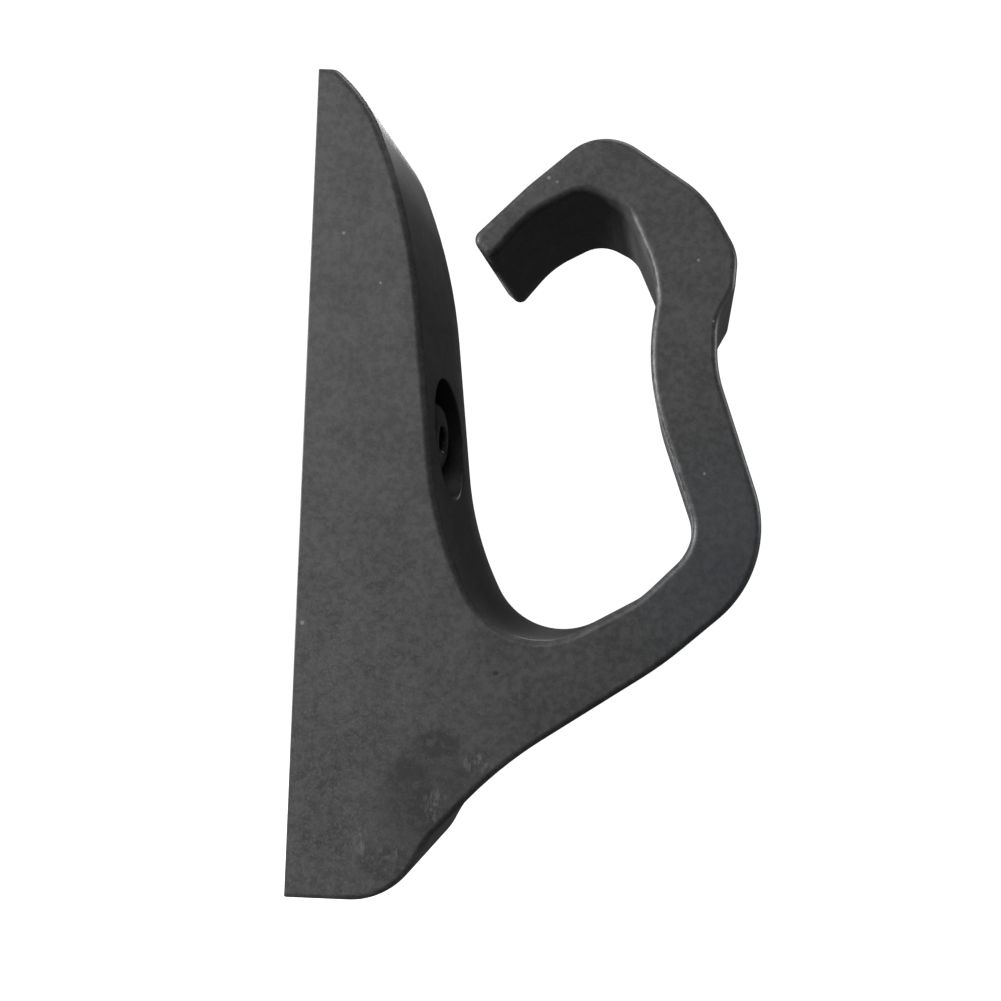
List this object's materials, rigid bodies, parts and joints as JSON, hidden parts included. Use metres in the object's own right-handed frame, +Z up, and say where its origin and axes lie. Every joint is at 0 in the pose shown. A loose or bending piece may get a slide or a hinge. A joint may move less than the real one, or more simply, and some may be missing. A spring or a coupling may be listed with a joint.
{
  "type": "screw-on bag hook",
  "caption": "Dark matt bag hook with a flat back, a pointed wedge body with a counterbored screw hole, and a wavy arm that curls back to a blunt inward tip.",
  "frame": {"origin": "centre of the flat back face: mid height and mid thickness, on the face", "axes": "+X out of the flat back towards the hook, +Y through the thickness, +Z up along the back towards the pointed top"},
  "size_m": [0.0501, 0.0206, 0.09],
  "materials": {
    "body": "fine matt moulded grain, dark grey",
    "washer": "zinc plated, dull",
    "screw": "black oxide, slightly oily"
  },
  "bodies": {
    "hook": {"hook_body": "body"},
    "washer_carriage": {"plain_washer": "washer"},
    "screw": {"fixing_screw": "screw"}
  },
  "joints": [
    {"name": "screw_travel", "type": "slide", "parent": "hook", "child": "washer_carriage", "axis": [1, 0, 0], "range_m": [-0.0064, 0.0026]},
    {"name": "screw_turn", "type": "hinge", "parent": "washer_carriage", "child": "screw", "pos_m": [0.01, 0, 0.0065], "axis": [1, 0, 0], "continuous": true}
  ]
}
